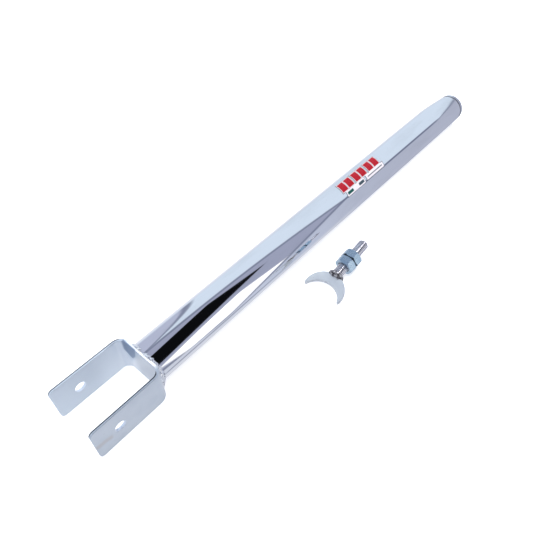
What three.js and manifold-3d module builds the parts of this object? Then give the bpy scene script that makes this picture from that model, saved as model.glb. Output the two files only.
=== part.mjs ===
// Side stand for a moped: a chromed tube leg with a welded clevis, and its loose adjustable stop.
// The leg lies on its side on the ground. +X runs along the leg towards the foot, +Y along the
// pivot bolt's axis, +Z up. The origin is the centre of the clevis web's inner face.
// All sizes are millimetres.
import * as THREE from "three";
import { mergeVertices } from "three/addons/utils/BufferGeometryUtils.js";
import Module from "manifold-3d";

// Clevis: one flat strip bent into a U.
const PLATE = 2;
const STRIP_WIDTH = 28;
const EAR_GAP = 34;
const BEND_INNER_R = 5;
const EAR_TIP_X = -48.5;
const EAR_CORNER_R = 3;
const PIVOT_X = -32;
const PIVOT_HOLE_R = 3.4;

// Leg tube, with its foot end drawn in on the +Y side and closed by a domed plug.
const TUBE_R = 14;
const TUBE_WALL = 2;
const NOSE_START_X = 342;
const NOSE_POWER = 1.5;
const RIM_X = 378;
const RIM_R = 12.7;
const PLUG_SPIGOT_LENGTH = 10;
const PLUG_COLLAR_LENGTH = 4;
const PLUG_COLLAR_TAPER = 0.2;
const PLUG_DOME_HEIGHT = 3;
const FIT_GAP = 0.05;

// Fillet welds at the tube's root.
const LEG_WELD_LEG = 2.6;

// Decal on the leg, wrapped round the tube. Its angle is measured from -Y towards +Z.
const DECAL_START_X = 194;
const DECAL_LENGTH = 56;
const DECAL_FROM_DEG = 42;
const DECAL_TO_DEG = 108;
const DECAL_THICKNESS = 0.2;

// Adjustable stop: a crescent plate on an M8 stud with two nuts. Its own frame has +X along the stud,
// its origin at the centre of the crescent's mouth, and the plate's mid-plane at z = 0.
const MOUTH_R = 14.3;
const CRESCENT_R = 15;
const CRESCENT_CENTRE_X = 8;
const CRESCENT_TIP_X = 5;
const CRESCENT_THICKNESS = 3;
const STUD_R = 4;
const STUD_END_X = 58;
const STUD_CHAMFER = 1.2;
const STOP_WELD_LEG = 2.4;
const STOP_WELD_OVERLAP = 2.2;
const STOP_WELD_TOE = 0.6;
const STOP_WELD_SHOULDER = 0.9;
const STOP_WELD_FLATNESS = 0.75;
const NUT_FLATS = 13;
const NUT_HEIGHT = 6.5;
const NUT_BORE_R = 4.1;
const NUT_CHAMFER = 0.9;
const INNER_NUT_X = 31.4;
const NUT_GAP = 0.3;
const NUT_TURN_DEG = 30;
const STOP_X = 118.2;
const STOP_Y = -40.3;

// How finely curves are cut into flats.
const SEGMENTS = 48;
const CORNER_SEGMENTS = 12;
const HOLE_SEGMENTS = 24;
const CRESCENT_SEGMENTS = 40;
const FILLET_STEPS = 5;
const NOSE_STEPS = 7;
const DOME_STEPS = 8;
const DECAL_STEPS = 16;
const MERGE_DISTANCE = 1e-4;
const rad = THREE.MathUtils.degToRad;

const wasm = await Module();
wasm.setup();

// A closed three.js geometry as a manifold-3d solid.
function solid(geometry) {
  const bare = geometry.clone();
  bare.deleteAttribute("normal");
  bare.deleteAttribute("uv");
  const merged = mergeVertices(bare, MERGE_DISTANCE);
  return new wasm.Manifold(
    new wasm.Mesh({
      numProp: 3,
      vertProperties: new Float32Array(merged.attributes.position.array),
      triVerts: new Uint32Array(merged.index.array),
    }),
  );
}

// A manifold-3d solid as a three.js geometry.
function geometryOf(body) {
  const mesh = body.getMesh();
  const geometry = new THREE.BufferGeometry();
  geometry.setAttribute("position", new THREE.BufferAttribute(mesh.vertProperties, 3));
  geometry.setIndex(new THREE.BufferAttribute(mesh.triVerts, 1));
  return geometry;
}

// A flat outline extruded along +Z from z = from to z = to.
function slab(shape, from, to, curveSegments = CORNER_SEGMENTS) {
  const geometry = new THREE.ExtrudeGeometry(shape, { depth: to - from, bevelEnabled: false, curveSegments });
  return geometry.translate(0, 0, from);
}

// A solid of revolution about the X axis, from [x, radius] points that start and end on the axis or close.
function turned(profile) {
  const points = profile.map(([x, r]) => new THREE.Vector2(r, x));
  return new THREE.LatheGeometry(points, SEGMENTS).rotateZ(-Math.PI / 2);
}

// A skin through rings of equal point count. The last ring joins the first, so the rings run out along one
// wall of a hollow body and back along the other.
function ringSkin(rings) {
  const count = rings[0].length;
  const positions = rings.flat(2);
  const index = [];
  rings.forEach((_, i) => {
    const next = (i + 1) % rings.length;
    for (let k = 0; k < count; k++) {
      const l = (k + 1) % count;
      const [a, b, c, d] = [i * count + k, i * count + l, next * count + l, next * count + k];
      index.push(a, b, c, a, c, d);
    }
  });
  const geometry = new THREE.BufferGeometry();
  geometry.setAttribute("position", new THREE.Float32BufferAttribute(positions, 3));
  return geometry.setIndex(index);
}

// Radius of the tube's outside at x: constant, then drawn in along a power curve to the rim.
function legRadius(x) {
  const share = Math.max(0, (x - NOSE_START_X) / (RIM_X - NOSE_START_X));
  return TUBE_R - (TUBE_R - RIM_R) * share ** NOSE_POWER;
}

// The -Y side of the tube stays straight, so its centre line moves towards -Y as the radius falls.
function legRing(x, inset) {
  const centreY = legRadius(x) - TUBE_R;
  const r = legRadius(x) - inset;
  return Array.from({ length: SEGMENTS }, (_, k) => {
    const a = (k / SEGMENTS) * 2 * Math.PI;
    return [x, centreY + r * Math.cos(a), r * Math.sin(a)];
  });
}

function legTube() {
  const stations = [PLATE];
  for (let i = 0; i <= NOSE_STEPS; i++) {
    stations.push(NOSE_START_X + ((RIM_X - NOSE_START_X) * i) / NOSE_STEPS);
  }
  const outside = stations.map((x) => legRing(x, 0));
  const inside = stations.map((x) => legRing(x, TUBE_WALL)).reverse();
  return ringSkin([...outside, ...inside]);
}

// The clevis seen from above with its gap filled in: straight sides, and a round at each end of the web.
function filledU(halfWidth, bendR, tipX) {
  const bendX = -BEND_INNER_R;
  const shape = new THREE.Shape();
  shape.moveTo(tipX, -halfWidth);
  shape.lineTo(bendX, -halfWidth);
  shape.absarc(bendX, bendR - halfWidth, bendR, -Math.PI / 2, 0);
  shape.absarc(bendX, halfWidth - bendR, bendR, 0, Math.PI / 2);
  shape.lineTo(tipX, halfWidth);
  shape.closePath();
  return shape;
}

function clevisBracket() {
  const outside = filledU(EAR_GAP / 2 + PLATE, BEND_INNER_R + PLATE, EAR_TIP_X);
  const inside = filledU(EAR_GAP / 2, BEND_INNER_R, 2 * EAR_TIP_X);
  const block = solid(slab(outside, -STRIP_WIDTH / 2, STRIP_WIDTH / 2));
  const room = solid(slab(inside, -STRIP_WIDTH, STRIP_WIDTH));
  return geometryOf(block.subtract(room).intersect(solid(earOutline())));
}

// The clevis seen from the side: rounded ear corners and the pivot hole, through both ears.
function earOutline() {
  const halfZ = STRIP_WIDTH / 2;
  const corner = EAR_TIP_X + EAR_CORNER_R;
  const past = 2 * PLATE;
  const side = new THREE.Shape();
  side.moveTo(past, -halfZ);
  side.lineTo(past, halfZ);
  side.lineTo(corner, halfZ);
  side.absarc(corner, halfZ - EAR_CORNER_R, EAR_CORNER_R, Math.PI / 2, Math.PI);
  side.absarc(corner, -halfZ + EAR_CORNER_R, EAR_CORNER_R, Math.PI, 1.5 * Math.PI);
  side.closePath();
  side.holes.push(new THREE.Path().absarc(PIVOT_X, 0, PIVOT_HOLE_R, 0, 2 * Math.PI, true));
  return slab(side, -EAR_GAP, EAR_GAP, HOLE_SEGMENTS).rotateX(Math.PI / 2);
}

// A hollow-faced fillet between the tube and the clevis. side is 1 for +Y and -1 for -Y: the strip is as
// wide as the tube, so each side has its own fillet, cut off level with the strip's edges.
function clevisWeld(side) {
  const inner = TUBE_R + FIT_GAP;
  const root = PLATE + FIT_GAP;
  const buried = -BEND_INNER_R;
  const profile = [[buried, inner], [buried, inner + LEG_WELD_LEG]];
  for (let i = 0; i <= FILLET_STEPS; i++) {
    const a = (Math.PI / 2) * (i / FILLET_STEPS);
    profile.push([root + LEG_WELD_LEG * (1 - Math.cos(a)), inner + LEG_WELD_LEG * (1 - Math.sin(a))]);
  }
  profile.push([buried, inner]);
  const seat = filledU(EAR_GAP / 2 + PLATE + FIT_GAP, BEND_INNER_R + PLATE + FIT_GAP, EAR_TIP_X);
  const wide = 2 * TUBE_R;
  const level = new THREE.BoxGeometry(wide, wide, STRIP_WIDTH).translate(0, (side * wide) / 2, 0);
  const clevis = solid(slab(seat, -STRIP_WIDTH, STRIP_WIDTH));
  return geometryOf(solid(turned(profile)).subtract(clevis).intersect(solid(level)));
}

// The plug's spigot sits inside the rim. Its collar carries the tube's outside on to the low dome.
function footPlug() {
  const seat = RIM_X + FIT_GAP;
  const spigotR = RIM_R - TUBE_WALL - 2 * FIT_GAP;
  const domeX = seat + PLUG_COLLAR_LENGTH;
  const domeR = RIM_R - PLUG_COLLAR_TAPER;
  const profile = [
    [seat - PLUG_SPIGOT_LENGTH, 0],
    [seat - PLUG_SPIGOT_LENGTH, spigotR],
    [seat, spigotR],
    [seat, RIM_R],
  ];
  for (let i = 0; i < DOME_STEPS; i++) {
    const a = (Math.PI / 2) * (i / DOME_STEPS);
    profile.push([domeX + PLUG_DOME_HEIGHT * Math.sin(a), domeR * Math.cos(a)]);
  }
  profile.push([domeX + PLUG_DOME_HEIGHT, 0]);
  return turned(profile).translate(0, RIM_R - TUBE_R, 0);
}

// A curved film, drawn as a cross-section in Y and Z and extruded along X.
function decal() {
  const outline = [];
  const at = (i, r) => {
    const a = rad(DECAL_FROM_DEG + ((DECAL_TO_DEG - DECAL_FROM_DEG) * i) / DECAL_STEPS);
    return [-r * Math.cos(a), r * Math.sin(a)];
  };
  const lowR = TUBE_R + FIT_GAP;
  for (let i = 0; i <= DECAL_STEPS; i++) outline.push(at(i, lowR));
  for (let i = DECAL_STEPS; i >= 0; i--) outline.push(at(i, lowR + DECAL_THICKNESS));
  const patch = new THREE.Shape(outline.map(([y, z]) => new THREE.Vector2(y, z)));
  const alongLeg = new THREE.Matrix4().makeBasis(
    new THREE.Vector3(0, 1, 0),
    new THREE.Vector3(0, 0, 1),
    new THREE.Vector3(1, 0, 0),
  );
  return slab(patch, DECAL_START_X, DECAL_START_X + DECAL_LENGTH).applyMatrix4(alongLeg);
}

// A disc with a round bite out of it, its two tips cut off square.
function crescent() {
  const tipAngle = Math.acos((CRESCENT_TIP_X - CRESCENT_CENTRE_X) / CRESCENT_R);
  const mouthAngle = Math.acos(CRESCENT_TIP_X / MOUTH_R);
  const shape = new THREE.Shape();
  shape.absarc(CRESCENT_CENTRE_X, 0, CRESCENT_R, -tipAngle, tipAngle);
  shape.absarc(0, 0, MOUTH_R, mouthAngle, -mouthAngle, true);
  shape.closePath();
  return slab(shape, -CRESCENT_THICKNESS / 2, CRESCENT_THICKNESS / 2, CRESCENT_SEGMENTS);
}

// The stud butts on the crescent's back. Its thread is left as the plain major diameter.
function stud() {
  const start = CRESCENT_CENTRE_X + CRESCENT_R + FIT_GAP;
  return turned([
    [start, 0],
    [start, STUD_R],
    [STUD_END_X - STUD_CHAMFER, STUD_R],
    [STUD_END_X, STUD_R - STUD_CHAMFER],
    [STUD_END_X, 0],
  ]);
}

// A bead round the stud's root that laps over both faces of the crescent, cut to fit the two. It is
// lower than it is wide, so that it clears the ground.
function stopWeld() {
  const back = CRESCENT_CENTRE_X + CRESCENT_R;
  const widest = STUD_R + STOP_WELD_LEG;
  const bead = turned([
    [back - STOP_WELD_OVERLAP, 0],
    [back - STOP_WELD_OVERLAP, STOP_WELD_TOE * widest],
    [back - STOP_WELD_OVERLAP / 2, STOP_WELD_SHOULDER * widest],
    [back, widest],
    [back + STOP_WELD_LEG / 2, (widest + STUD_R) / 2],
    [back + STOP_WELD_LEG, STUD_R + FIT_GAP],
    [back + STOP_WELD_LEG, 0],
  ]).scale(1, 1, STOP_WELD_FLATNESS);
  const studRoomLength = STUD_END_X - back;
  const studRoom = new THREE.CylinderGeometry(STUD_R + FIT_GAP, STUD_R + FIT_GAP, studRoomLength, SEGMENTS)
    .rotateZ(-Math.PI / 2)
    .translate(back + studRoomLength / 2, 0, 0);
  const plateR = CRESCENT_R + FIT_GAP;
  const plateRoom = new THREE.CylinderGeometry(plateR, plateR, CRESCENT_THICKNESS + 2 * FIT_GAP, 2 * SEGMENTS)
    .rotateX(Math.PI / 2)
    .translate(CRESCENT_CENTRE_X, 0, 0);
  return geometryOf(solid(bead).subtract(solid(studRoom)).subtract(solid(plateRoom)));
}

// A hexagon with both faces' corners turned off, and a plain bore with running clearance on the stud.
function nut(x) {
  const hexR = NUT_FLATS / Math.sqrt(3);
  const hex = new THREE.CylinderGeometry(hexR, hexR, NUT_HEIGHT, 6).rotateZ(-Math.PI / 2);
  const turn = turned([
    [-NUT_HEIGHT / 2, 0],
    [-NUT_HEIGHT / 2, hexR - NUT_CHAMFER],
    [-NUT_HEIGHT / 2 + NUT_CHAMFER / 2, hexR],
    [NUT_HEIGHT / 2 - NUT_CHAMFER / 2, hexR],
    [NUT_HEIGHT / 2, hexR - NUT_CHAMFER],
    [NUT_HEIGHT / 2, 0],
  ]);
  const boreLength = 2 * NUT_HEIGHT;
  const bore = new THREE.CylinderGeometry(NUT_BORE_R, NUT_BORE_R, boreLength, SEGMENTS).rotateZ(-Math.PI / 2);
  const body = solid(hex).intersect(solid(turn)).subtract(solid(bore));
  return geometryOf(body).rotateX(rad(NUT_TURN_DEG)).translate(x + NUT_HEIGHT / 2, 0, 0);
}

// One named mesh in its own material.
function piece(name, geometry, color, roughness, metalness = 1) {
  const mesh = new THREE.Mesh(geometry, new THREE.MeshStandardMaterial({ color, roughness, metalness }));
  mesh.name = name;
  return mesh;
}

const leg = new THREE.Group();
leg.add(
  piece("leg_tube", legTube(), 0xd4d8dd, 0.05),
  piece("clevis_bracket", clevisBracket(), 0xc3ccd6, 0.3),
  piece("left_clevis_weld", clevisWeld(1), 0xc9ced4, 0.25),
  piece("right_clevis_weld", clevisWeld(-1), 0xc9ced4, 0.25),
  piece("foot_plug", footPlug(), 0xcdd1d6, 0.12),
  piece("leg_decal", decal(), 0xc8102e, 0.4, 0),
);

// The stop lies on the ground beside the leg, on its crescent's tips and its nuts.
const stop = new THREE.Group();
stop.add(
  piece("stop_crescent", crescent(), 0xb9c0cc, 0.4),
  piece("stop_weld", stopWeld(), 0x6f665c, 0.5),
  piece("stop_stud", stud(), 0xaab0b8, 0.3),
  piece("inner_nut", nut(INNER_NUT_X), 0xa9c3d8, 0.35),
  piece("outer_nut", nut(INNER_NUT_X + NUT_HEIGHT + NUT_GAP), 0xa9c3d8, 0.35),
);
const lieFlat = Math.atan2((NUT_FLATS - CRESCENT_THICKNESS) / 2, INNER_NUT_X - CRESCENT_TIP_X);
const tipDepth = (CRESCENT_THICKNESS / 2) * Math.cos(lieFlat) - CRESCENT_TIP_X * Math.sin(lieFlat);
stop.rotation.y = -lieFlat;
stop.position.set(STOP_X, STOP_Y, -STRIP_WIDTH / 2 + tipDepth);

const sideStand = new THREE.Group();
sideStand.add(leg, stop);
export default sideStand;
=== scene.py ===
import math

import bmesh
import bpy
from mathutils import Matrix, Vector, geometry, noise


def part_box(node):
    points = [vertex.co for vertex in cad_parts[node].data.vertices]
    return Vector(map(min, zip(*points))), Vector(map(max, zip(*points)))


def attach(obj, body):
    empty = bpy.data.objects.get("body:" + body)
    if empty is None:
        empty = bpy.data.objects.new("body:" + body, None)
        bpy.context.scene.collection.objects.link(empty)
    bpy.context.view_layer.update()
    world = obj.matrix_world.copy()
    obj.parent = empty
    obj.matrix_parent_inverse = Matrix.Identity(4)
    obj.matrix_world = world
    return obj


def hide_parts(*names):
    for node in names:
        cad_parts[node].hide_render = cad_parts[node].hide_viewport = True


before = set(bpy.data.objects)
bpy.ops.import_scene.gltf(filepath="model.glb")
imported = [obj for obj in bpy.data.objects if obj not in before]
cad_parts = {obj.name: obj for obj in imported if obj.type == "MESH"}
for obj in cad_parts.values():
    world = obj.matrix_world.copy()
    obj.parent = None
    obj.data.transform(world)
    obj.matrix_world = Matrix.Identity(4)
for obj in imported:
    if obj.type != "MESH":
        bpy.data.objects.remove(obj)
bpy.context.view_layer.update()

# Sizes below are millimetres in the row frame: +X along the leg, +Y along the pivot, +Z up.
MM = 0.001


def box_mm(node):
    low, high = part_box(node)
    return low / MM, high / MM


# Leg tube.
TUBE_LOW, TUBE_HIGH = box_mm("leg_tube")
TUBE_R = (TUBE_HIGH.y - TUBE_LOW.y) / 2
TUBE_Y = (TUBE_HIGH.y + TUBE_LOW.y) / 2
TUBE_Z = (TUBE_HIGH.z + TUBE_LOW.z) / 2
TUBE_WALL = 2
NOSE_START = 342
NOSE_POWER = 1.5
RIM_X = TUBE_HIGH.x
RIM_R = 12.7
RIM_ROUND = 0.55
AROUND = 192

# Clevis strip.
CLEVIS_LOW, CLEVIS_HIGH = box_mm("clevis_bracket")
PLATE = CLEVIS_HIGH.x
BEND_R = 5
EAR_GAP = 2 * CLEVIS_HIGH.y - 2 * PLATE
EAR_LENGTH = -BEND_R - CLEVIS_LOW.x
BEND_LENGTH = BEND_R * math.pi / 2
FLAT_LENGTH = 2 * (EAR_LENGTH + BEND_LENGTH) + EAR_GAP - 2 * BEND_R
STRIP_HALF = CLEVIS_HIGH.z
CORNER_R = 3
HOLE_R = 3.4
PIVOT_X = -32
HOLE_FROM_TIP = PIVOT_X - CLEVIS_LOW.x
PLATE_EDGE_ROUND = 0.5
HOLE_EDGE_ROUND = 0.2

# The clevis's weld beads: half the arc each one covers, in degrees, and how far they sink into the tube.
BEAD_REACH = 86
BEAD_SINK = 0.3

# Stop: its own frame has +X along the stud and its origin at the centre of the crescent's mouth.
INNER_NUT_X = 34.65
CRESCENT_R = 15
CRESCENT_CENTRE = 8
MOUTH_R = 14.3
TIP_X = 5
STOP_PLATE = 3
STUD_R = 4
STUD_START = 22.6
STUD_END = 58
STUD_CHAMFER = 1.2
PITCH = 1.25
THREAD_DEPTH = 0.5
NUT_FLATS = 13
NUT_HEIGHT = 6.5
NUT_BORE_R = 4.1

# Camera.
CAMERA_AT = (-0.07083, -0.1556, 0.26511)
CAMERA_TURN = (40.677, -1.094, -49.715)
CAMERA_FIELD = 56.904


# ---------------------------------------------------------------- mesh helpers

def arc(centre, radius, start, end, steps):
    """Points of a flat arc, angles in degrees, both ends included."""
    points = []
    for i in range(steps + 1):
        a = math.radians(start + (end - start) * i / steps)
        points.append((centre[0] + radius * math.cos(a), centre[1] + radius * math.sin(a)))
    return points


def circle(x, radius, centre_y, centre_z):
    """A ring of points about a line along X."""
    ring = []
    for k in range(AROUND):
        a = 2 * math.pi * k / AROUND
        ring.append((x, centre_y + radius * math.cos(a), centre_z + radius * math.sin(a)))
    return ring


def soften(profile, size, steps=3):
    """The profile with each inner corner made a small curve that starts and ends size away from it."""
    soft = [profile[0]]
    for before, corner, after in zip(profile, profile[1:], profile[2:]):
        c = Vector(corner)
        back, on = Vector(before) - c, Vector(after) - c
        reach = min(size, back.length * 0.45, on.length * 0.45)
        start, end = c + back.normalized() * reach, c + on.normalized() * reach
        for i in range(steps + 1):
            t = i / steps
            soft.append(tuple(start * (1 - t) ** 2 + c * 2 * t * (1 - t) + end * t ** 2))
    soft.append(profile[-1])
    return soft


def skin(rings, loop=False):
    """Faces through rings of equal length.

    With loop the last ring joins the first. Without it both ends are capped, and the caps come last.
    """
    count = len(rings[0])
    faces = []
    for i in range(len(rings) if loop else len(rings) - 1):
        a, b = i * count, (i + 1) % len(rings) * count
        for k in range(count):
            after = (k + 1) % count
            faces.append((a + k, a + after, b + after, b + k))
    if not loop:
        last = (len(rings) - 1) * count
        faces.append(tuple(range(count)))
        faces.append(tuple(range(last, last + count)))
    return faces


def add_to_scene(thing):
    bpy.context.scene.collection.objects.link(thing)


def join_points(rings):
    return [p for ring in rings for p in ring]


def build(name, points, faces, sharp=32):
    """A mesh object from points in millimetres, faces outwards, smooth but for edges over sharp degrees."""
    mesh = bpy.data.meshes.new(name)
    mesh.from_pydata([tuple(c * MM for c in p) for p in points], [], faces)
    work = bmesh.new()
    work.from_mesh(mesh)
    bmesh.ops.recalc_face_normals(work, faces=work.faces)
    work.to_mesh(mesh)
    work.free()
    mesh.polygons.foreach_set("use_smooth", [True] * len(mesh.polygons))
    mesh.set_sharp_from_angle(angle=math.radians(sharp))
    piece = bpy.data.objects.new(name, mesh)
    add_to_scene(piece)
    return piece


def mark_points(piece, mark, values):
    """Stores a number for each point of the piece, for its finish to read."""
    piece.data.attributes.new(mark, "FLOAT", "POINT").data.foreach_set("value", values)


def finish_piece(piece, body, node, material, weighted=True):
    """Puts the piece on its body in place of a CAD node and gives it its finish."""
    if weighted:
        weights = piece.modifiers.new("flat faces stay flat", "WEIGHTED_NORMAL")
        weights.keep_sharp = True
        weights.weight = 100
    piece.data.materials.append(material)
    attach(piece, body)
    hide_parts(node)
    return piece


# ---------------------------------------------------------------- shader helpers

NOISE = "ShaderNodeTexNoise"
CELLS = "ShaderNodeTexVoronoi"


def linear(red, green, blue):
    """A colour given in display values 0 to 255, as scene-linear RGBA."""
    out = []
    for c in (red / 255, green / 255, blue / 255):
        out.append(c / 12.92 if c <= 0.04045 else ((c + 0.055) / 1.055) ** 2.4)
    return (*out, 1)


class Value:
    """A shader number that adds Math nodes from ordinary arithmetic."""

    def __init__(self, tree, socket):
        self.tree = tree
        self.socket = socket

    def math(self, operation, *others, clamp=False):
        node = self.tree.nodes.new("ShaderNodeMath")
        node.operation = operation
        node.use_clamp = clamp
        for slot, value in zip(node.inputs, (self, *others)):
            plug(self.tree, value, slot)
        return Value(self.tree, node.outputs[0])

    def __add__(self, other):
        return self.math("ADD", other)

    def __sub__(self, other):
        return self.math("SUBTRACT", other)

    def __mul__(self, other):
        return self.math("MULTIPLY", other)

    def __truediv__(self, other):
        return self.math("DIVIDE", other)

    def __pow__(self, other):
        return self.math("POWER", other)

    def __abs__(self):
        return self.math("ABSOLUTE")

    def __neg__(self):
        return self * -1.0

    def highest(self, other):
        return self.math("MAXIMUM", other)

    def clamped(self):
        return self.math("ADD", 0.0, clamp=True)

    def invert(self):
        return self * -1.0 + 1.0

    def step(self, low, high):
        """0 at low and before it, 1 at high and past it, smooth between. low may be the greater."""
        node = self.tree.nodes.new("ShaderNodeMapRange")
        node.interpolation_type = "SMOOTHSTEP"
        plug(self.tree, self, node.inputs["Value"])
        plug(self.tree, low, node.inputs["From Min"])
        plug(self.tree, high, node.inputs["From Max"])
        return Value(self.tree, node.outputs[0])

    def band(self, low, high, soft):
        """1 between low and high, with soft edges inside the band."""
        return self.step(low, low + soft) * self.step(high - soft, high).invert()


def plug(tree, value, slot):
    if isinstance(value, Value):
        tree.links.new(value.socket, slot)
    else:
        slot.default_value = value


def blend_colour(tree, first, second, share):
    """first where share is 0, second where it is 1."""
    node = tree.nodes.new("ShaderNodeMix")
    node.data_type = "RGBA"
    plug(tree, share, node.inputs["Factor"])
    plug(tree, first, node.inputs["A"])
    plug(tree, second, node.inputs["B"])
    return Value(tree, node.outputs["Result"])


def split_vector(tree, socket):
    node = tree.nodes.new("ShaderNodeSeparateXYZ")
    tree.links.new(socket, node.inputs[0])
    return [Value(tree, node.outputs[i]) for i in range(3)]


def object_point(tree):
    """The shaded point in the row frame, in millimetres, as three numbers."""
    node = tree.nodes.new("ShaderNodeTexCoord")
    return [metres / MM for metres in split_vector(tree, node.outputs["Object"])]


def point_mark(tree, mark):
    """The number that mark_points stored."""
    node = tree.nodes.new("ShaderNodeAttribute")
    node.attribute_name = mark
    return Value(tree, node.outputs["Fac"])


def texture(tree, kind, scale, stretch=(1, 1, 1), **settings):
    """A noise or Voronoi texture in object space; scale is in features per metre."""
    place = tree.nodes.new("ShaderNodeTexCoord")
    shape = tree.nodes.new("ShaderNodeMapping")
    shape.inputs["Scale"].default_value = stretch
    tree.links.new(place.outputs["Object"], shape.inputs["Vector"])
    node = tree.nodes.new(kind)
    node.inputs["Scale"].default_value = scale
    for name, value in settings.items():
        node.inputs[name.title()].default_value = value
    tree.links.new(shape.outputs["Vector"], node.inputs["Vector"])
    return Value(tree, node.outputs[0])


def inside(u, v, corners, soft):
    """1 inside a convex shape whose corners run anticlockwise in (u, v), 0 outside, with soft edges."""
    share = None
    for (u0, v0), (u1, v1) in zip(corners, corners[1:] + corners[:1]):
        length = math.hypot(u1 - u0, v1 - v0)
        depth = (v - v0) * ((u1 - u0) / length) - (u - u0) * ((v1 - v0) / length)
        one = depth.step(-soft / 2, soft / 2)
        share = one if share is None else share * one
    return share


def bump(tree, height, distance):
    node = tree.nodes.new("ShaderNodeBump")
    node.inputs["Distance"].default_value = distance
    plug(tree, height, node.inputs["Height"])
    return node.outputs["Normal"]


def new_material(name):
    """A new node material, its node tree and its Principled shader."""
    material = bpy.data.materials.new(name)
    material.use_nodes = True
    tree = material.node_tree
    shader = tree.nodes["Principled BSDF"]
    return material, tree, shader


def paint_over(material, tone, share):
    """Lays a tone over the material's base colour, fully where share is 1."""
    tree = material.node_tree
    slot = tree.nodes["Principled BSDF"].inputs["Base Color"]
    under = Value(tree, slot.links[0].from_socket)
    plug(tree, blend_colour(tree, under, tone, share), slot)


# ---------------------------------------------------------------- finishes

PLAIN_WHITE = linear(255, 255, 255)
DARK_SEAM = linear(48, 50, 56)


def chrome(name, tone, roughness, wave, wave_height):
    """Mirror plating: a faint polish haze in the roughness, and a long slow wave from the metal under it."""
    material, tree, shader = new_material(name)
    haze = texture(tree, NOISE, 90, stretch=(0.25, 1, 1), detail=4)
    polish = texture(tree, NOISE, 900, stretch=(0.08, 1, 1), detail=2)
    slow = texture(tree, NOISE, wave, stretch=(0.3, 1, 1), detail=1)
    shader.inputs["Metallic"].default_value = 1
    rough = haze.step(0.35, 0.75) * (roughness * 0.9) + polish * (roughness * 0.35) + roughness * 0.5
    plug(tree, rough, shader.inputs["Roughness"])
    clean, dull = linear(*tone), linear(*[c * 0.965 for c in tone])
    plug(tree, blend_colour(tree, clean, dull, haze.step(0.4, 0.8)), shader.inputs["Base Color"])
    tree.links.new(bump(tree, slow, wave_height), shader.inputs["Normal"])
    return material


def satin_plate(name, tone, shade, roughness, grain, grain_height, metal, pitted, streak=(1, 1, 1)):
    """Bright plate on rolled steel: cloudy tone, fine grain and a few deeper pits.

    pitted takes the node tree and gives where the pits are, 0 to 1.
    """
    material, tree, shader = new_material(name)
    cloud = texture(tree, NOISE, 70, detail=3)
    fine = texture(tree, NOISE, grain, stretch=streak, detail=3)
    cells = texture(tree, CELLS, grain * 0.35)
    patch = texture(tree, NOISE, 160, detail=3)
    specks = cells.step(0.05, 0.16).invert() * patch.step(0.56, 0.68) * pitted(tree)
    mix = cloud.step(0.3, 0.72)
    colour = blend_colour(tree, linear(*tone), linear(*shade), mix)
    colour = blend_colour(tree, colour, linear(*[c * 0.72 for c in shade]), specks * 0.6)
    plug(tree, colour, shader.inputs["Base Color"])
    shader.inputs["Metallic"].default_value = metal
    rough = fine * (roughness * 0.2) + mix * (roughness * 0.2) + roughness * 0.8 + specks * 0.15
    plug(tree, rough, shader.inputs["Roughness"])
    height = fine - specks * 1.5 + cloud * 0.6
    tree.links.new(bump(tree, height, grain_height), shader.inputs["Normal"])
    return material


def weld_finish(name, bright, dark, burn, roughness):
    """Weld metal: cloudy heat colours, pits and spatter."""
    material, tree, shader = new_material(name)
    cloud = texture(tree, NOISE, 420, detail=6, roughness=0.65)
    pits = texture(tree, CELLS, 1100)
    soot = texture(tree, NOISE, 900, detail=4, roughness=0.7)
    colour = blend_colour(tree, linear(*bright), linear(*dark), cloud.step(0.36, 0.62))
    colour = blend_colour(tree, colour, linear(*burn), soot.step(0.5, 0.64))
    plug(tree, colour, shader.inputs["Base Color"])
    shader.inputs["Metallic"].default_value = 0.7
    plug(tree, cloud * 0.3 + roughness, shader.inputs["Roughness"])
    height = cloud + pits.step(0.0, 0.3) * 0.35
    tree.links.new(bump(tree, height, 0.00022), shader.inputs["Normal"])
    return material


def zinc(name, tone, tint, roughness, painted_shade_mark, painted_shade_tone):
    """Passivated zinc: a base tone that drifts towards the tint in soft clouds, with fine turned scratches.

    The named point mark, 0 to 1, turns the plate towards the given dark tone where it is high: painted shade
    in recesses.
    """
    material, tree, shader = new_material(name)
    cloud = texture(tree, NOISE, 190, detail=4)
    fine = texture(tree, NOISE, 2600, stretch=(0.3, 1, 1), detail=2)
    stain = texture(tree, NOISE, 650, detail=5, roughness=0.7)
    colour = blend_colour(tree, linear(*tone), linear(*tint), cloud.step(0.35, 0.65))
    dull = linear(*[c * 0.7 for c in tone])
    colour = blend_colour(tree, colour, dull, stain.step(0.58, 0.72) * 0.5)
    # Painted shade where the point mark is high.
    painted_shade = point_mark(tree, painted_shade_mark).step(0.15, 0.9)
    colour = blend_colour(tree, colour, linear(*painted_shade_tone), painted_shade * (stain * 0.4 + 0.6))
    plug(tree, colour, shader.inputs["Base Color"])
    shader.inputs["Metallic"].default_value = 1
    plug(tree, fine * 0.14 + cloud * 0.1 + roughness, shader.inputs["Roughness"])
    tree.links.new(bump(tree, fine + stain * 0.5, 0.00003), shader.inputs["Normal"])
    return material


# ---------------------------------------------------------------- the leg

def leg_radius(x):
    share = max(0.0, (x - NOSE_START) / (RIM_X - NOSE_START))
    return TUBE_R - (TUBE_R - RIM_R) * share ** NOSE_POWER


def leg_ring(x, inset):
    """A ring round the tube. In the nose the -Y side keeps its place, so the centre moves towards it."""
    r = leg_radius(x)
    return circle(x, r - inset, TUBE_Y + r - TUBE_R, TUBE_Z)


def tube_finish():
    """Mirror chrome with a dark seam at the rim."""
    material = chrome("mirror chrome", (246, 247, 250), 0.045, 26, 0.00005)
    x = object_point(material.node_tree)[0]
    paint_over(material, DARK_SEAM, x.step(RIM_X - 0.4, RIM_X - 0.15))
    return material


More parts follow.
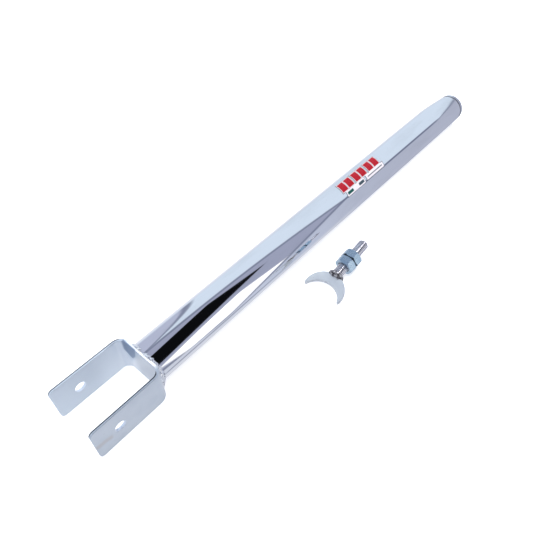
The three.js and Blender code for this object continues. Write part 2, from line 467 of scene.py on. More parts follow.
def leg_tube():
    straight_steps = 16
    nose_steps = 40
    nose_end = RIM_X - RIM_ROUND
    stations = [TUBE_LOW.x + (NOSE_START - TUBE_LOW.x) * i / straight_steps for i in range(straight_steps)]
    stations += [NOSE_START + (nose_end - NOSE_START) * i / nose_steps for i in range(nose_steps + 1)]
    rings = [leg_ring(x, 0) for x in stations]
    for x, inset in arc((nose_end, RIM_ROUND), RIM_ROUND, -90, 0, 6)[1:]:
        rings.append(leg_ring(x, inset))
    rings.append(leg_ring(RIM_X, TUBE_WALL))
    rings += [leg_ring(x, TUBE_WALL) for x in reversed(stations[:-1])]
    piece = build("chrome_tube", join_points(rings), skin(rings, loop=True))
    return finish_piece(piece, "leg", "leg_tube", tube_finish())


def plug_finish():
    """Ground metal under thin chrome: mottled, with a dark seam where it meets the tube."""
    material = chrome("plug chrome", (232, 234, 240), 0.09, 120, 0.00012)
    tree = material.node_tree
    x = object_point(tree)[0]
    ground = texture(tree, NOISE, 480, detail=4)
    paint_over(material, linear(156, 148, 146), ground.step(0.42, 0.66) * 0.45)
    paint_over(material, DARK_SEAM, x.step(RIM_X + 0.35, RIM_X + 0.75).invert())
    return material


def foot_plug():
    """The plug's collar starts with a round, so a V-shaped seam shows between it and the tube's rim."""
    low, high = box_mm("foot_plug")
    tip_r = 0.2
    spigot_gap = 0.1
    rim_gap = 0.05
    dome_step = 0.2
    collar_length = 4
    dome_steps = 26
    spigot_r = RIM_R - TUBE_WALL - spigot_gap
    dome_r = RIM_R - dome_step
    dome_x = RIM_X + collar_length
    dome = high.x - dome_x
    collar_x = RIM_X + rim_gap
    profile = [(low.x, tip_r), (low.x, spigot_r), (collar_x, spigot_r)]
    profile += arc((collar_x + RIM_ROUND, RIM_R - RIM_ROUND), RIM_ROUND, 180, 90, 6)
    for i in range(dome_steps):
        a = math.pi / 2 * i / dome_steps
        profile.append((dome_x + dome * math.sin(a), dome_r * math.cos(a)))
    rings = [circle(x, r, (low.y + high.y) / 2, (low.z + high.z) / 2) for x, r in profile]
    piece = build("foot_cap", join_points(rings), skin(rings))
    return finish_piece(piece, "leg", "foot_plug", plug_finish())


# ---------------------------------------------------------------- the clevis

LEFT_SIDE_PAINTED_LIGHT = linear(209, 219, 229)
BEND_PAINTED_HIGHLIGHT = linear(238, 247, 255)
BEND_PAINTED_SHADE = linear(150, 165, 188)
RIM_PAINTED_SHADE = linear(62, 66, 74)
HOLE_WALL_PAINTED_LIGHT = linear(236, 242, 252)
SCUFFED = linear(192, 188, 188)


def clevis_pits(tree):
    """Where the clevis is pitted: in its left bend."""
    x, y = object_point(tree)[:2]
    return x.step(-15, -9) * y.step(7, 11)


def clevis_finish():
    """Satin plate with painted light: paler to the left, and bright hole walls; painted shade on the rims;
    pits and a scuff.
    """
    base_metal = 0.75
    material = satin_plate(
        "clevis plate", tone=(205, 213, 222), shade=(198, 207, 217), roughness=0.32, grain=1500,
        grain_height=0.000008, metal=base_metal, pitted=clevis_pits, streak=(0.5, 0.5, 1.4),
    )
    tree = material.node_tree
    shader = tree.nodes["Principled BSDF"]
    x, y, z = object_point(tree)
    # Painted light: the plate is painted paler towards the left ear, at +Y.
    left = y.step(-12, CLEVIS_HIGH.y)
    paint_over(material, LEFT_SIDE_PAINTED_LIGHT, left)
    # A painted highlight: the web's upper edge is painted white.
    painted_web_highlight = z.step(STRIP_HALF - 0.12, STRIP_HALF - 0.02) * abs(y).step(11, 15.5).invert()
    paint_over(material, PLAIN_WHITE, painted_web_highlight)
    # The left ear and the web's edge show less of the dark studio.
    metal = left * x.step(-6, -14) * -0.35 + base_metal - painted_web_highlight * 0.6
    plug(tree, metal, shader.inputs["Metallic"])
    # A painted highlight towards the left bend.
    bend_highlight_share = x.step(-26, -4) * y.step(2, 12)
    paint_over(material, BEND_PAINTED_HIGHLIGHT, bend_highlight_share * 0.85)
    # Painted shade: a darker patch inside the left bend, its corners in (y, z).
    patch = [(14.9, 14.8), (3.5, 14.8), (5.8, 5.5), (10, -1), (12.7, -0.5), (15, 5)]
    dull = inside(y, z, patch, 1.3) * x.step(-6, -5) * x.step(0.3, 0.9).invert()
    paint_over(material, BEND_PAINTED_SHADE, dull)
    # Painted shade on the ears' upper edges, along the side that faces away.
    paint_over(material, RIM_PAINTED_SHADE, point_mark(tree, "far side").step(0.42, 0.6) * 0.95)
    # Painted highlight: the hole walls and their rounded edges are painted bright.
    from_hole = ((x - PIVOT_X) ** 2.0 + z ** 2.0).math("SQRT")
    paint_over(material, HOLE_WALL_PAINTED_LIGHT, from_hole.step(HOLE_R + 0.1, HOLE_R + 0.25).invert())
    paint_over(material, SCUFFED, clevis_scuff(tree, x, y, z) * 0.6)
    return material


def clevis_scuff(tree, x, y, z):
    """A scuff from the hole to the ear's tip, a little below the middle, on the right ear's outer face."""
    drop = 2.2
    slope = 0.16
    levelled_x = PIVOT_X - 8
    half_width = 3.2
    wander = 2.4
    wobble = texture(tree, NOISE, 220, detail=3)
    above = z + drop + (x - levelled_x) * slope + (wobble - 0.5) * wander
    near_tip = x.step(PIVOT_X - 5, PIVOT_X - 7)
    outer_face = y.step(CLEVIS_LOW.y + 1.5, CLEVIS_LOW.y + 0.5)
    return abs(above).step(0.3, half_width).invert() * near_tip * outer_face


def fold(s, z, t):
    """Where a point of the flat strip ends up in the U: s along the strip, t above its inner face."""
    half = FLAT_LENGTH / 2
    side = 1 if s < half else -1
    from_tip = half - abs(s - half)
    bend_y = EAR_GAP / 2 - BEND_R
    if from_tip < EAR_LENGTH:
        x, y = CLEVIS_LOW.x + from_tip, EAR_GAP / 2 + t
    elif from_tip < EAR_LENGTH + BEND_LENGTH:
        a = (from_tip - EAR_LENGTH) / BEND_R
        x, y = -BEND_R + (BEND_R + t) * math.sin(a), bend_y + (BEND_R + t) * math.cos(a)
    else:
        x, y = t, bend_y - (from_tip - EAR_LENGTH - BEND_LENGTH)
    return x, side * y, z


def strip_columns():
    """Stations along the strip, close together in the two bends."""
    steps = 20
    bends = [EAR_LENGTH + BEND_LENGTH * i / steps for i in range(steps + 1)]
    return bends + [FLAT_LENGTH - s for s in reversed(bends)]


def strip_outline(inset):
    """The flat strip's outline, moved in by inset."""
    r = CORNER_R - inset
    near, far = CORNER_R, FLAT_LENGTH - CORNER_R
    low, high = CORNER_R - STRIP_HALF, STRIP_HALF - CORNER_R
    columns = strip_columns()
    points = arc((near, low), r, 180, 270, 8)
    points += [(s, inset - STRIP_HALF) for s in columns]
    points += arc((far, low), r, 270, 360, 8) + arc((far, high), r, 0, 90, 8)
    points += [(s, STRIP_HALF - inset) for s in reversed(columns)]
    return points + arc((near, high), r, 90, 180, 8)


def strip_fill(holes):
    """Extra points over the strip's faces, as (along, across), clear of the holes.

    There is a row of them across every column, and a grid on the ears.
    """
    rows = 8
    ear_columns = 10
    web_columns = 6
    step = 2 * STRIP_HALF / rows
    clear = CORNER_R + 1
    columns = strip_columns()
    for i in range(ear_columns):
        s = clear + (EAR_LENGTH - clear - step / 2) * i / (ear_columns - 1)
        columns += [s, FLAT_LENGTH - s]
    web = FLAT_LENGTH - 2 * (EAR_LENGTH + BEND_LENGTH)
    columns += [EAR_LENGTH + BEND_LENGTH + web * i / web_columns for i in range(1, web_columns)]
    points = [(s, step * i - STRIP_HALF) for s in columns for i in range(1, rows)]
    return [p for p in points if all(math.dist(p, h) > HOLE_R + step / 2 for h in holes)]


def strip_cap(loops, holes):
    """Triangles that fill the strip's face between its outline and its holes, and the extra points in it."""
    extra = strip_fill(holes)
    flat = [Vector(p) for loop in loops for p in loop] + [Vector(p) for p in extra]
    edges = []
    hole_of = {}
    start = 0
    for number, loop in enumerate(loops):
        count = len(loop)
        edges += [(start + i, start + (i + 1) % count) for i in range(count)]
        if number:
            hole_of.update({start + i: number for i in range(count)})
        start += count
    filled = geometry.delaunay_2d_cdt(flat, edges, [], 0, 1e-6)
    triangles, sources = filled[2], filled[3]
    faces = []
    for triangle in triangles:
        corners = [sources[i][0] for i in triangle]
        # A triangle whose corners all lie on one hole's edge fills part of that hole.
        owners = {hole_of.get(i) for i in corners}
        if owners == {None} or len(owners) > 1:
            faces.append(corners)
    return faces, extra


def far_side(s, z, t):
    """For the painted shade on the ears' upper edges: 0 on the side of the sheet that faces -Y, 1 on the
    side that faces +Y.

    It fades out round the bend, and is 0 on the lower edges.
    """
    fade_end, fade = 0.9, 0.6
    half = FLAT_LENGTH / 2
    into_bend = (half - abs(s - half) - EAR_LENGTH) / BEND_LENGTH
    if z < 0 or into_bend > fade_end:
        return 0.0
    share = t / PLATE if s < half else 1 - t / PLATE
    return share * min(1.0, (fade_end - into_bend) / fade)


def clevis():
    """The strip is built flat, level by level through its thickness with rounded edges, and bent."""
    edge = PLATE_EDGE_ROUND
    angles = (0, 0.4, 0.8, 1.2, math.pi / 2)
    levels = [(edge - edge * math.cos(a), edge - edge * math.sin(a)) for a in angles]
    levels += [(PLATE - t, inset) for t, inset in reversed(levels)]
    holes = [(HOLE_FROM_TIP, 0), (FLAT_LENGTH - HOLE_FROM_TIP, 0)]
    flat_levels = []
    for t, inset in levels:
        loops = [strip_outline(inset)]
        loops += [arc(h, HOLE_R + inset * HOLE_EDGE_ROUND / edge, 0, 360, 64)[:-1] for h in holes]
        flat_levels.append((t, loops))
    points, faces, marks = [], [], []
    count = sum(len(loop) for loop in flat_levels[0][1])
    for level, (t, loops) in enumerate(flat_levels):
        start = level * count
        for loop in loops:
            points += [fold(s, z, t) for s, z in loop]
            rim = loop is loops[0] and 0 < level < len(levels) - 1
            marks += [far_side(s, z, t) if rim else 0.0 for s, z in loop]
            if level:
                for k in range(len(loop)):
                    a, b = start + k, start + (k + 1) % len(loop)
                    faces.append((a, b, b - count, a - count))
            start += len(loop)
    for level in (0, len(levels) - 1):
        t, loops = flat_levels[level]
        triangles, extra = strip_cap(loops, holes)
        first_extra = len(points)
        points += [fold(s, z, t) for s, z in extra]
        for triangle in triangles:
            faces.append([i + level * count if i < count else i - count + first_extra for i in triangle])
    piece = build("clevis_strip", points, faces, sharp=50)
    mark_points(piece, "far side", marks + [0.0] * (len(points) - len(marks)))
    return finish_piece(piece, "leg", "clevis_bracket", clevis_finish())


def web_surface(y):
    """The clevis's outer face at y: flat across the web, then falling away round each bend."""
    past = abs(y) - (EAR_GAP / 2 - BEND_R)
    if past <= 0:
        return PLATE
    outer = BEND_R + PLATE
    return -BEND_R + math.sqrt(max(0.0, outer ** 2 - past ** 2))


def bead_size(off_middle, a, spot):
    """How far the bead spreads on both its faces: lumpy and rippled, thin at its ends, top and bottom."""
    thin = 0.6
    full = 2.0
    ripple = 0.25
    ripple_deg = 8
    end_taper = 5
    rough = noise.noise(spot * 2.5 + Vector((0, 0, 4)))
    lump = noise.noise(spot * 9 + Vector((0, 0, 8)))
    wave = abs(math.sin(a * 180 / ripple_deg))
    side = abs(math.cos(a)) ** 0.7
    size = thin + side * (full + 0.4 * rough + 0.7 * lump) + ripple * wave
    return size * min(1.0, (BEAD_REACH - off_middle) / end_taper + 0.05)


def bead_section(a, spot, size):
    """The bead's outline at one angle, as (x, radius): its two hidden feet and a hollow, bubbly face."""
    steps = 10
    behind = 0.6
    inner_r = TUBE_R - BEAD_SINK
    under, foot = [web_surface(r * math.cos(a)) for r in (inner_r, TUBE_R + size)]
    section = [(under - behind, inner_r), (foot - behind, TUBE_R + size * 0.94), (foot, TUBE_R + size)]
    for j in range(1, steps):
        b = math.pi / 2 * j / steps
        hollow = 1 - 0.3 * math.sin(2 * b)
        bubble = 0.2 * noise.noise(spot * 14 + Vector((j * 0.8, 3, 1)))
        base = foot + (PLATE - foot) * math.sin(b)
        reach = size * (hollow + bubble)
        section.append((base + reach * math.sin(b), TUBE_R + reach * math.cos(b)))
    section.append((PLATE + size, TUBE_R - 0.02))
    section.append((PLATE + size * 0.9, inner_r))
    return section


def clevis_bead(name, node, middle):
    """A rough rippled bead in the corner between the tube and the clevis, centred on the angle middle.

    Angles run from -Y towards +Z. The bead is thin at the tube's top and bottom, which are level with the
    strip's edges.
    """
    steps = 240
    rings = []
    for i in range(steps + 1):
        deg = middle - BEAD_REACH + 2 * BEAD_REACH * i / steps
        a = math.radians(deg)
        spot = Vector((math.cos(a), math.sin(a), 0))
        section = bead_section(a, spot, bead_size(abs(deg - middle), a, spot))
        rings.append([(x, TUBE_Y - r * math.cos(a), TUBE_Z + r * math.sin(a)) for x, r in section])
    piece = build(name, join_points(rings), skin(rings), sharp=70)
    material = weld_finish(
        name.replace("_", " "), bright=(255, 255, 255), dark=(228, 232, 240), burn=(128, 134, 146),
        roughness=0.14,
    )
    return finish_piece(piece, "leg", node, material, weighted=False)


# ---------------------------------------------------------------- the decal

def decal_finish(first_x, low_deg, high_deg):
    """Slanted red bars in three pairs with a white keyline, over short plain stripes, on clear film.

    u runs along the leg on a slant, and across runs up round the tube, from the film's lower near corner.
    """
    slant = 0.24
    line_edge = 0.12
    bar, slit, pair = 6.9, 1.2, 17.6
    first_bar = -0.6
    bar_low, bar_margin = 6.4, 1.2
    left_stripe = (2.6, 25.5, 2.0, 5.4)
    right_stripe = (29, 52.5, 2.4, 5.6)
    green_mark = (3.2, 10.4, 2.5, 4.9)
    grey_mark = (18.0, 24.9, 2.5, 4.9)
    thin_line = (30.5, 51.0, 3.6, 4.4)

    material, tree, shader = new_material("printed film")
    x, y, z = object_point(tree)
    angle = (z - TUBE_Z).math("ARCTAN2", (y - TUBE_Y) * -1.0) * math.degrees(1)
    across = (angle - low_deg) * (math.radians(1) * TUBE_R)
    height = math.radians(high_deg - low_deg) * TUBE_R
    u = x - first_x - across * slant

    def between(value, low, high, grow):
        over_low = (value + (grow - low)).step(0.0, line_edge)
        return over_low * (value - (grow + high)).step(-line_edge, 0.0).invert()

    def block(left, right, low, high, grow=0.0):
        return between(u, left, right, grow) * between(across, low, high, grow)

    def bars(grow=0.0):
        share = None
        for i in range(3):
            for j in range(2):
                left = first_bar + i * pair + j * (bar + slit)
                one = block(left, left + bar, bar_low, height - bar_margin, grow)
                share = one if share is None else share.highest(one)
        return share

    keyline = bars(0.5).highest(block(*left_stripe, 0.5)).highest(block(*right_stripe, 0.5))
    rim = bars(0.8).highest(block(*left_stripe, 0.8)).highest(block(*right_stripe, 0.9))
    grain = texture(tree, NOISE, 1400, detail=3)
    red = blend_colour(tree, linear(186, 4, 30), linear(164, 2, 24), grain)
    white = blend_colour(tree, linear(246, 240, 242), linear(236, 226, 230), grain)
    slate = linear(54, 66, 72)
    colour = blend_colour(tree, slate, white, keyline)
    colour = blend_colour(tree, colour, red, bars())
    colour = blend_colour(tree, colour, linear(30, 86, 78), block(*green_mark))
    colour = blend_colour(tree, colour, linear(70, 84, 92), block(*grey_mark))
    colour = blend_colour(tree, colour, slate, block(*thin_line))
    plug(tree, colour, shader.inputs["Base Color"])
    plug(tree, grain * 0.12 + 0.22, shader.inputs["Roughness"])
    shader.inputs["Specular IOR Level"].default_value = 0.25
    shader.inputs["Coat Weight"].default_value = 0.12
    shader.inputs["Coat Roughness"].default_value = 0.08
    plug(tree, rim * 0.97, shader.inputs["Alpha"])
    tree.links.new(bump(tree, rim + grain * 0.1, 0.00004), shader.inputs["Normal"])
    return material


def decal():
    """A thin film wrapped on the tube, with rounded corners."""
    low, high = box_mm("leg_decal")
    length = high.x - low.x
    inner_r = TUBE_R + 0.05
    outer_r = TUBE_R + 0.15
    cad_r = inner_r + 0.2
    # The film's upper edge is past the tube's top, so its angle comes from how far +Y it reaches.
    low_deg = math.degrees(math.acos((TUBE_Y - low.y) / cad_r))
    high_deg = math.degrees(math.acos((TUBE_Y - high.y) / cad_r))
    width = math.radians(high_deg - low_deg) * TUBE_R
    columns, rows, corner = 112, 60, 2.5
    layers = []
    for r in (inner_r, outer_r):
        layer = []
        for i in range(columns + 1):
            s = length * i / columns
            from_end = min(s, length - s)
            pinch = corner - math.sqrt(max(0.0, corner ** 2 - (corner - min(corner, from_end)) ** 2))
            for j in range(rows + 1):
                v = pinch + (width - 2 * pinch) * j / rows
                a = math.radians(low_deg) + v / TUBE_R
                layer.append((low.x + s, TUBE_Y - r * math.cos(a), TUBE_Z + r * math.sin(a)))
        layers.append(layer)
    size = (columns + 1) * (rows + 1)

    def at(i, j, layer):
        return layer * size + i * (rows + 1) + j

    faces = []
    for i in range(columns):
        for j in range(rows):
            square = ((i, j), (i + 1, j), (i + 1, j + 1), (i, j + 1))
            for layer in (0, 1):
                faces.append([at(*spot, layer) for spot in square])
    for i in range(columns):
        for j in (0, rows):
            faces.append((at(i, j, 0), at(i + 1, j, 0), at(i + 1, j, 1), at(i, j, 1)))
    for j in range(rows):
        for i in (0, columns):
            faces.append((at(i, j, 0), at(i, j + 1, 0), at(i, j + 1, 1), at(i, j, 1)))
    piece = build("decal_film", join_points(layers), faces, sharp=40)
    material = decal_finish(low.x, low_deg, high_deg)
    return finish_piece(piece, "leg", "leg_decal", material, weighted=False)


# ---------------------------------------------------------------- the stop

def node_centre(node):
    low, high = box_mm(node)
    return (low + high) / 2


STOP_X_AXIS = (node_centre("outer_nut") - node_centre("inner_nut")).normalized()
STOP_Y_AXIS = Vector((0, 1, 0))
STOP_Z_AXIS = STOP_X_AXIS.cross(STOP_Y_AXIS)
STOP_ORIGIN = node_centre("inner_nut") - STOP_X_AXIS * INNER_NUT_X
OUTER_NUT_X = (node_centre("outer_nut") - STOP_ORIGIN).dot(STOP_X_AXIS)


def stop_place(points):
    """Points of the stop's own frame, in the row frame."""
    return [tuple(STOP_ORIGIN + STOP_X_AXIS * x + STOP_Y_AXIS * y + STOP_Z_AXIS * z) for x, y, z in points]


def crescent_outline(inset):
    """Outer arc and mouth arc with equal counts, each ending on a rounded tip."""
    arc_steps = 96
    tip_steps = 5
    tip_round = 0.6
    tip_closing = 0.94
    outer_r, mouth_r = CRESCENT_R - inset, MOUTH_R + inset
    x = TIP_X + tip_round
    outer_end = math.degrees(math.acos((x - CRESCENT_CENTRE) / outer_r))
    mouth_end = math.degrees(math.acos(x / mouth_r))
    outer = arc((CRESCENT_CENTRE, 0), outer_r, -outer_end, outer_end, arc_steps)
    mouth = arc((0, 0), mouth_r, -mouth_end, mouth_end, arc_steps)
    low_tips, high_tips = [], []
    for (ox, oy), (mx, my), tips in ((outer[0], mouth[0], low_tips), (outer[-1], mouth[-1], high_tips)):
        for i in range(1, tip_steps + 1):
            a = math.pi / 2 * i / tip_steps
            half = (1 - math.cos(a)) / 2 * tip_closing
            drop = (tip_round - inset) * math.sin(a)
            tips.append(((ox - drop, oy + (my - oy) * half), (mx - drop, my + (oy - my) * half)))
    outer = [t[0] for t in reversed(low_tips)] + outer + [t[0] for t in high_tips]
    mouth = [t[1] for t in reversed(low_tips)] + mouth + [t[1] for t in high_tips]
    return outer + mouth[::-1]


def crescent_finish():
    """Satin plate with a duller, blotchy sheared edge."""
    material = satin_plate(
        "stop plate", tone=(224, 230, 232), shade=(206, 212, 218), roughness=0.34, grain=1300,
        grain_height=0.00002, metal=0.6, pitted=lambda tree: 1.0,
    )
    tree = material.node_tree
    sheared = texture(tree, NOISE, 520, detail=4)
    edge_tone = blend_colour(tree, linear(204, 208, 214), linear(158, 162, 172), sheared.step(0.42, 0.62))
    paint_over(material, edge_tone, point_mark(tree, "cut").step(0.1, 0.8) * 0.6)
    return material


def crescent():
    edge = 0.3
    half = STOP_PLATE / 2
    angles = (0, 0.5, 1.05, math.pi / 2)
    levels = [(edge * (1 - math.cos(a)) - half, edge * (1 - math.sin(a))) for a in angles]
    levels += [(-t, inset) for t, inset in reversed(levels)]
    rings = [[(x, y, t) for x, y in crescent_outline(inset)] for t, inset in levels]
    count = len(rings[0])
    last = (len(rings) - 1) * count
    # The two caps are strips of four-sided faces between the outer arc and the mouth.
    faces = skin(rings)[:-2]
    for start in (0, last):
        for k in range(count // 2 - 1):
            faces.append((start + k, start + k + 1, start + count - 2 - k, start + count - 1 - k))
    piece = build("crescent_plate", stop_place(join_points(rings)), faces, sharp=50)
    middle = len(levels) // 2
    cut_levels = (middle - 1, middle)
    cut = [float(level in cut_levels) for level in range(len(levels)) for _ in range(count)]
    mark_points(piece, "cut", cut)
    return finish_piece(piece, "stop", "stop_crescent", crescent_finish())


def stop_bead():
    """A lumpy bead that wraps the stud's root and laps over both faces of the plate."""
    along, around = 64, 128
    half_sizes = (2.9, 5.7, 4.3)
    sink = 0.2
    pole = 0.02
    centre = CRESCENT_CENTRE + CRESCENT_R - sink
    rings = []
    for i in range(along + 1):
        a = math.pi * (pole + (1 - 2 * pole) * i / along)
        ring = []
        for k in range(around):
            b = 2 * math.pi * k / around
            d = Vector((-math.cos(a), math.sin(a) * math.cos(b), math.sin(a) * math.sin(b)))
            lumps = noise.noise(d * 2.6 + Vector((3, 1, 7))) * 0.12 + noise.noise(d * 6.5) * 0.1
            beads = abs(noise.noise(d * 11 + Vector((5, 5, 5)))) * 0.1
            size = 1 + lumps + beads
            x, y, z = [way * half * size for way, half in zip(d, half_sizes)]
            ring.append((centre + x, y, z))
        rings.append(ring)
    piece = build("stop_bead", stop_place(join_points(rings)), skin(rings), sharp=80)
    material = weld_finish(
        "burnt weld", bright=(236, 234, 238), dark=(84, 80, 84), burn=(10, 8, 8), roughness=0.3,
    )
    return finish_piece(piece, "stop", "stop_weld", material, weighted=False)


def thread_dip(phase):
    """How deep a rolled thread is at a share of its pitch.

    It has a wide rounded crest, sloping flanks and a narrow root.
    """
    root, crest = 0.12, 0.5
    from_root = abs(phase - 0.5) * 2
    rise = min(1.0, max(0.0, (crest - from_root) / (crest - root)))
    return THREAD_DEPTH * rise * rise * (3 - 2 * rise)


def stud():
    per_pitch, around = 14, 84
    crest_r = STUD_R - 0.02
    end_round = 0.1
    spacing = PITCH / per_pitch
    count = int((STUD_END - STUD_START) / spacing)
    stations = [STUD_START + spacing * i for i in range(count)]
    stations += [STUD_END - 0.08, STUD_END - 0.02, STUD_END]
    rings = []
    dips = []
    for x in stations:
        to_end = STUD_END - x
        limit = STUD_R - STUD_CHAMFER + min(to_end, STUD_CHAMFER) - (end_round if x == STUD_END else 0)
        ring = []
        for k in range(around):
            turn = k / around
            dip = thread_dip((x / PITCH - turn) % 1)
            dips.append(dip / THREAD_DEPTH)
            r = min(crest_r - dip, limit)
            a = 2 * math.pi * turn
            ring.append((x, r * math.cos(a), r * math.sin(a)))
        rings.append(ring)
    piece = build("threaded_stud", stop_place(join_points(rings)), skin(rings), sharp=60)
    mark_points(piece, "dip", dips)
    # Painted shade in the thread roots: the deeper the dip, the darker.
    material = zinc(
        "stud zinc", tone=(238, 237, 243), tint=(219, 217, 223), roughness=0.14,
        painted_shade_mark="dip", painted_shade_tone=(104, 98, 104),
    )
    return finish_piece(piece, "stop", "stop_stud", material, weighted=False)


def hex_radius(a):
    """Distance to a hexagon's side at angle a, with softened corners."""
    sharpness = 70
    total = sum(max(0.0, math.cos(a - math.radians(30 + 60 * k))) ** sharpness for k in range(6))
    return NUT_FLATS / 2 / total ** (1 / sharpness)


def nut(name, node, centre_x, body, joint):
    """A hex nut with 30 degree corner chamfers and countersunk bore.

    joint is the side, 1 or -1, that meets the other nut: painted shade goes there and in the bore.
    """
    around = 192
    half = NUT_HEIGHT / 2
    face_inset = 0.15
    countersink = 0.85
    sink = 0.7
    below_shoulder = 0.5
    edge_round = 0.14
    seam = 0.2
    face_r = NUT_FLATS / 2 - face_inset
    mouth_r = NUT_BORE_R + countersink
    slices, painted_shade = [], []
    for k in range(around):
        a = 2 * math.pi * k / around
        r = hex_radius(a)
        shoulder = half - (r - face_r) * math.tan(math.radians(30))
        side = [(0, NUT_BORE_R), (half - sink, NUT_BORE_R), (half, mouth_r), (half, face_r), (shoulder, r)]
        side += [(shoulder - below_shoulder, r), (0, r)]
        profile = soften(side, edge_round)
        profile += [(-x, radius) for x, radius in reversed(profile[1:-1])]
        slices.append([(centre_x + x, radius * math.cos(a), radius * math.sin(a)) for x, radius in profile])
        # Painted shade: points in the bore and by the joint with the other nut.
        painted_shade.append([float(radius < mouth_r - seam or x * joint > shoulder - seam) for x, radius in profile])
    rings = list(zip(*slices))
    piece = build(name, stop_place(join_points(rings)), skin(rings, loop=True), sharp=60)
    mark_points(piece, "painted_shade", join_points(zip(*painted_shade)))
    material = zinc(
        name.replace("_", " "), tone=(186, 207, 223), tint=(168, 193, 213), roughness=0.16,
        painted_shade_mark="painted_shade", painted_shade_tone=(34, 46, 62),
    )
    return finish_piece(piece, body, node, material)


# ---------------------------------------------------------------- studio

TENT_TOP = linear(216, 229, 244)
FAR_FLOOR = linear(238, 239, 247)
NEAR_FLOOR = linear(222, 224, 232)
WALL_SQUARE_ON = linear(198, 206, 225)
WALL_ALONG = linear(179, 184, 202)
SIDE_PANEL = linear(184, 190, 212)
BETWEEN_SEAMS = linear(160, 165, 188)
SEAM = linear(112, 118, 142)
HAZE = linear(140, 144, 160)
OPENING = linear(12, 13, 15)
LAMP = (1.35, 1.35, 1.35, 1)
WHITE_BACKDROP = (0.98, 0.98, 0.985, 1)


def tent_seams(lean):
    """The turns of the tent's two seams. They part at lean 42 and run down either side of the opening."""
    meet_turn = 41.0
    part = ((lean - 14) / 28).clamped()
    upper = (part ** 2.3).invert() * 67.0 + meet_turn
    # Close to the leg's root the lower seam turns back up.
    near_root = (-lean + 22.0).highest(0.0) * 1.9 - 34.0
    lower = ((part ** 1.5).invert() * -95.0 + meet_turn).highest(near_root)
    return upper, lower


def side_panel(tree, light, turn, lean):
    """A darker panel behind the leg's root, with a seam along its curved edge."""
    edge = (((turn - 110) / 72).clamped().invert() ** 3.0).invert() * 6.7 + 14.0
    share = (lean - edge).step(-0.6, 0.6).invert() * lean.step(7, 11) * turn.step(100, 112)
    light = blend_colour(tree, light, SIDE_PANEL, share * turn.step(172, 190).invert())
    seam = abs(lean - edge).step(0.3, 1.3).invert() * turn.band(104, 186, 12)
    return blend_colour(tree, light, SEAM, seam * 0.8)


def end_wall(tree, light, near_wall, turn, lean):
    """The wall beyond the foot, with a seam where it meets the tent."""
    edge = ((turn - 40) / 55).highest(0.0) ** 0.595 * 7.75 + 53.5
    light = blend_colour(tree, light, near_wall, (lean - edge).step(-0.3, 0.3) * turn.step(37, 41))
    seam = abs(lean - edge).step(0.15, 1.05).invert() * turn.step(38, 42)
    return blend_colour(tree, light, SEAM, seam * 0.85)


def studio_light(tree, direction):
    """What the metal reflects: a pale tent with seams, and the dark opening that the camera looks through.

    turn is the direction's angle about the leg's axis from -Y towards +Z, from -118 to 242 degrees.
    lean is its angle away from the plane square to the leg, the same towards both ends.
    """
    dx, dy, dz = split_vector(tree, direction)
    turn = dz.math("ARCTAN2", -dy) * math.degrees(1)
    turn = turn + turn.math("LESS_THAN", -118.0) * 360.0
    lean = abs(dx).math("ARCSINE") * math.degrees(1)

    def seam_line(place, width):
        return abs(turn - place).step(width * 0.25, width).invert()

    near_wall = blend_colour(tree, WALL_SQUARE_ON, WALL_ALONG, lean.step(26, 51))
    upper, lower = tent_seams(lean)

    light = blend_colour(tree, TENT_TOP, FAR_FLOOR, turn.step(176, 206))
    horizon = turn.band(172, 196, 9) * 0.22
    light = blend_colour(tree, light, near_wall, horizon)
    light = side_panel(tree, light, turn, lean)

    up_the_wall = turn.step(-92, -48) * (lean.step(10, 14) * 0.45 + lean.step(16, 34) * 0.55)
    wall = blend_colour(tree, NEAR_FLOOR, near_wall, up_the_wall.highest(lean.step(36, 44)))
    light = blend_colour(tree, light, BETWEEN_SEAMS, (turn - upper).step(-3, 3).invert())
    light = blend_colour(tree, light, wall, (turn - lower).step(-3, 3).invert())
    wall_base_turn = -52
    wall_base = seam_line(wall_base_turn, 6) * lean.step(13.4, 15) * lean.step(27, 37).invert()
    light = blend_colour(tree, light, SEAM, wall_base * 0.75)
    before_end = lean.step(53.8, 54.8).invert()
    light = blend_colour(tree, light, SEAM, seam_line(upper, 8) * before_end * 0.8)
    light = blend_colour(tree, light, SEAM, seam_line(lower, 9) * before_end * 0.8)
    light = end_wall(tree, light, near_wall, turn, lean)

    # Each shape's corners are (turn, lean).
    haze_shape = [(60, 31), (2, 14.5), (2, -5), (30, -5), (34, 27)]
    lamp_shape = [(3, 32.6), (-34, 24), (-30, 18), (2, 14), (20, 20), (31, 26.2)]
    opening_shape = [(60, 30.5), (14, 12.5), (14, -5), (37, -5), (92, 22.5)]
    light = blend_colour(tree, light, HAZE, inside(turn, lean, haze_shape, 2.0))
    light = blend_colour(tree, light, LAMP, inside(turn, lean, lamp_shape, 1.6))
    return blend_colour(tree, light, OPENING, inside(turn, lean, opening_shape, 1.2))


def studio():
    """The reflected tent, a plain white backdrop for the camera, and soft light from above."""
    world = bpy.data.worlds.new("studio")
    world.use_nodes = True
    bpy.context.scene.world = world
    tree = world.node_tree
    place = tree.nodes.new("ShaderNodeTexCoord")
    path = tree.nodes.new("ShaderNodeLightPath")
    reflected = studio_light(tree, place.outputs["Generated"])
    seen = blend_colour(tree, reflected, WHITE_BACKDROP, Value(tree, path.outputs["Is Camera Ray"]))
    plug(tree, seen, tree.nodes["Background"].inputs["Color"])

    lamp = bpy.data.lights.new("overhead", "AREA")
    lamp.shape = "DISK"
    lamp.size = 1.6
    lamp.energy = 26
    overhead = bpy.data.objects.new("overhead", lamp)
    overhead.location = (0.25, 0.1, 1.6)
    overhead.visible_glossy = False
    overhead.visible_camera = False
    add_to_scene(overhead)


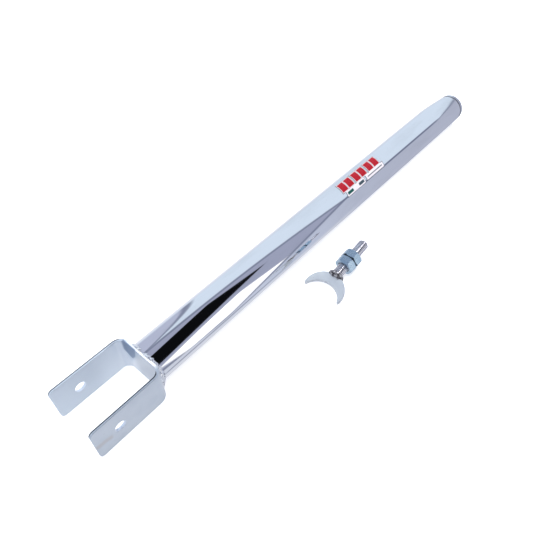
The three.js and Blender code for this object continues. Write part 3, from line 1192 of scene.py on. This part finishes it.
def stop_light(pieces):
    """A soft strip for the stop alone, placed where the stud mirrors it along the middle of its side."""
    distance = 0.5
    middle = STOP_ORIGIN * MM + STOP_X_AXIS * (INNER_NUT_X * MM)
    view = (Vector(CAMERA_AT) - middle).normalized()
    along = STOP_X_AXIS * view.dot(STOP_X_AXIS)
    towards = (view - along * 2).normalized()
    strip = bpy.data.lights.new("stop strip", "AREA")
    strip.shape = "RECTANGLE"
    strip.size = 0.9
    strip.size_y = 0.07
    strip.energy = 1.3
    light = bpy.data.objects.new("stop strip", strip)
    light.location = middle + towards * distance
    side = STOP_X_AXIS.cross(towards).normalized()
    long_side = side.cross(towards).normalized()
    light.rotation_euler = Matrix((long_side, towards.cross(long_side), towards)).transposed().to_euler()
    light.visible_camera = False
    add_to_scene(light)
    lit = bpy.data.collections.new("lit by the stop strip")
    for piece in pieces:
        lit.objects.link(piece)
    light.light_linking.receiver_collection = lit


def floor():
    """A plain pale sheet just under the object, left out of reflections."""
    gap = 0.05
    ground = CLEVIS_LOW.z - gap
    reach = 6000
    corners = [(x * reach, y * reach, ground) for x, y in ((-1, -1), (1, -1), (1, 1), (-1, 1))]
    sheet = build("floor", corners, [(0, 1, 2, 3)])
    material, tree, shader = new_material("pale sheet")
    tooth = texture(tree, NOISE, 900, detail=2)
    shade = blend_colour(tree, linear(250, 250, 251), linear(246, 246, 248), tooth)
    plug(tree, shade, shader.inputs["Base Color"])
    shader.inputs["Roughness"].default_value = 0.9
    shader.inputs["Emission Color"].default_value = (1, 1, 1, 1)
    shader.inputs["Emission Strength"].default_value = 0.6
    sheet.data.materials.append(material)
    sheet.visible_glossy = False


def camera():
    lens = bpy.data.cameras.new("camera")
    lens.lens_unit = "FOV"
    lens.angle = math.radians(CAMERA_FIELD)
    lens.clip_start = 0.01
    view = bpy.data.objects.new("camera", lens)
    view.location = CAMERA_AT
    view.rotation_euler = [math.radians(a) for a in CAMERA_TURN]
    add_to_scene(view)
    bpy.context.scene.camera = view


leg_tube()
foot_plug()
clevis()
clevis_bead("right_clevis_bead", "right_clevis_weld", 0)
clevis_bead("left_clevis_bead", "left_clevis_weld", 180)
decal()
crescent()
stop_hardware = [
    stop_bead(),
    stud(),
    nut("inner_hex_nut", "inner_nut", INNER_NUT_X, "inner_nut", 1),
    nut("outer_hex_nut", "outer_nut", OUTER_NUT_X, "outer_nut", -1),
]
floor()
studio()
stop_light(stop_hardware)
camera()
bpy.context.scene.view_settings.view_transform = "Standard"
